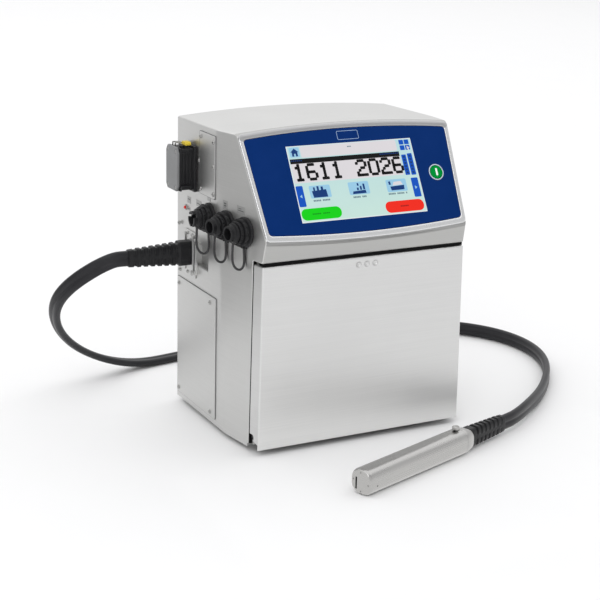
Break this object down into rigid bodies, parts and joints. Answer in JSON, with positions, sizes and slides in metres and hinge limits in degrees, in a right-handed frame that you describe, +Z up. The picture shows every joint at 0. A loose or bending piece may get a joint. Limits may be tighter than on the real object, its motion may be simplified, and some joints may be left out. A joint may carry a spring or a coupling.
{
  "type": "date code inkjet printer",
  "caption": "Continuous inkjet coder: stainless cabinet with slanted touchscreen head, drop-down bay door, capped side ports and a tubular printhead on a flat conduit.",
  "frame": {"origin": "on the surface the printer stands on, under the middle of the box of the cabinet, its conduit boots and the printhead", "axes": "+Z up; the door and the slanted screen face -Y; +X is to the right seen from the front, so the ports and the conduit's boot are on the -X side"},
  "size_m": [0.9383, 0.7359, 0.5116],
  "materials": {
    "stainless": "satin stainless sheet",
    "stainless_dark": "plain steel",
    "bright_rim": "smooth satin rim",
    "panel_blue": "satin blue overlay",
    "screen": "lit touchscreen",
    "button_green": "gloss green",
    "button_ring": "pale blue-grey ring",
    "black_plastic": "moulded black",
    "grey_plastic": "moulded grey",
    "yellow_tag": "yellow",
    "lamp_red": "red lens",
    "rubber_black": "black rubber",
    "conduit_black": "ribbed satin sleeve",
    "board_green": "solder mask",
    "module_grey": "moulded dark grey",
    "cartridge_black": "black bottle",
    "cartridge_white": "white bottle",
    "brass": "bright plate"
  },
  "bodies": {
    "cabinet": {"cabinet_shell": "stainless", "base_plate": "stainless_dark", "door_hinge_pin_left": "stainless_dark", "door_hinge_pin_right": "stainless_dark", "rear_panel": "stainless", "mains_inlet": "black_plastic", "cooling_fan_frame": "black_plastic", "head_bezel": "bright_rim", "display_panel": "panel_blue", "touchscreen": "screen", "display_module": "black_plastic", "power_button_ring": "button_ring", "door_gasket": "rubber_black", "door_catch": "black_plastic", "side_access_cover": "stainless", "interface_plate": "stainless", "access_cover_screw_1": "stainless_dark", "access_cover_screw_2": "stainless_dark", "interface_plate_screw_1": "stainless_dark", "interface_plate_screw_2": "stainless_dark", "interface_plate_screw_3": "stainless_dark", "io_connector_hood": "black_plastic", "io_connector_cover": "grey_plastic", "io_connector_tag": "yellow_tag", "status_lamp": "lamp_red", "port_socket_1": "black_plastic", "port_socket_2": "black_plastic", "port_socket_3": "black_plastic", "cap_lanyard_1": "rubber_black", "cap_lanyard_2": "rubber_black", "cap_lanyard_3": "rubber_black", "conduit_bracket": "stainless", "cabinet_boot": "rubber_black", "conduit": "conduit_black", "printhead_boot": "rubber_black", "printhead_collar": "stainless", "printhead_chassis": "stainless_dark", "nozzle_block": "stainless_dark", "deflector_plate_hv": "brass", "deflector_plate_ground": "stainless_dark", "gutter_block": "black_plastic", "foot_front_left": "rubber_black", "foot_front_right": "rubber_black", "foot_rear_left": "rubber_black", "foot_rear_right": "rubber_black", "ink_system_module": "module_grey", "ink_cartridge": "cartridge_black", "solvent_cartridge": "cartridge_white", "bay_divider": "stainless_dark", "power_supply": "stainless_dark", "control_board": "board_green"},
    "front_door": {"front_door": "stainless"},
    "power_button": {"power_button": "button_green"},
    "dust_cap_1": {"dust_cap_1": "rubber_black"},
    "dust_cap_2": {"dust_cap_2": "rubber_black"},
    "dust_cap_3": {"dust_cap_3": "rubber_black"},
    "printhead_cover": {"printhead_cover": "stainless"},
    "cover_thumb_screw": {"cover_thumb_screw": "stainless"},
    "fan_rotor": {"cooling_fan_rotor": "black_plastic"},
    "mains_switch_rocker": {"mains_switch_rocker": "black_plastic"}
  },
  "joints": [
    {"name": "front_door_hinge", "type": "hinge", "parent": "cabinet", "child": "front_door", "pos_m": [0.0429, -0.02763, 0.027], "axis": [1, 0, 0], "range_deg": [0, 65]},
    {"name": "power_button_press", "type": "slide", "parent": "cabinet", "child": "power_button", "axis": [0, 0.863, -0.5053], "range_m": [0, 0.0015], "stiffness_N_per_m": 900},
    {"name": "printhead_cover_slide", "type": "slide", "parent": "cabinet", "child": "printhead_cover", "axis": [-0.9447, -0.328, 0], "range_m": [0, 0.24]},
    {"name": "cover_thumb_screw_turn", "type": "hinge", "parent": "cabinet", "child": "cover_thumb_screw", "pos_m": [0.14868, -0.16384, 0.04], "axis": [0, 0, 1], "continuous": true},
    {"name": "fan_rotor_spin", "type": "hinge", "parent": "cabinet", "child": "fan_rotor", "pos_m": [0.1379, 0.23687, 0.4], "axis": [0, 1, 0], "continuous": true},
    {"name": "mains_switch_rock", "type": "hinge", "parent": "cabinet", "child": "mains_switch_rocker", "pos_m": [-0.0271, 0.24437, 0.07], "axis": [1, 0, 0], "range_deg": [0, 15]},
    {"name": "dust_cap_1_turn", "type": "hinge", "parent": "cabinet", "child": "dust_cap_1", "pos_m": [-0.1571, 0.11537, 0.355], "axis": [-1, 0, 0], "range_deg": [0, 90]},
    {"name": "dust_cap_2_turn", "type": "hinge", "parent": "cabinet", "child": "dust_cap_2", "pos_m": [-0.15375, 0.05637, 0.355], "axis": [-0.9901, -0.1396, 0.0124], "range_deg": [0, 90]},
    {"name": "dust_cap_3_turn", "type": "hinge", "parent": "cabinet", "child": "dust_cap_3", "pos_m": [-0.14642, 0.00437, 0.355], "axis": [-0.9901, -0.1396, 0.0124], "range_deg": [0, 90]}
  ]
}
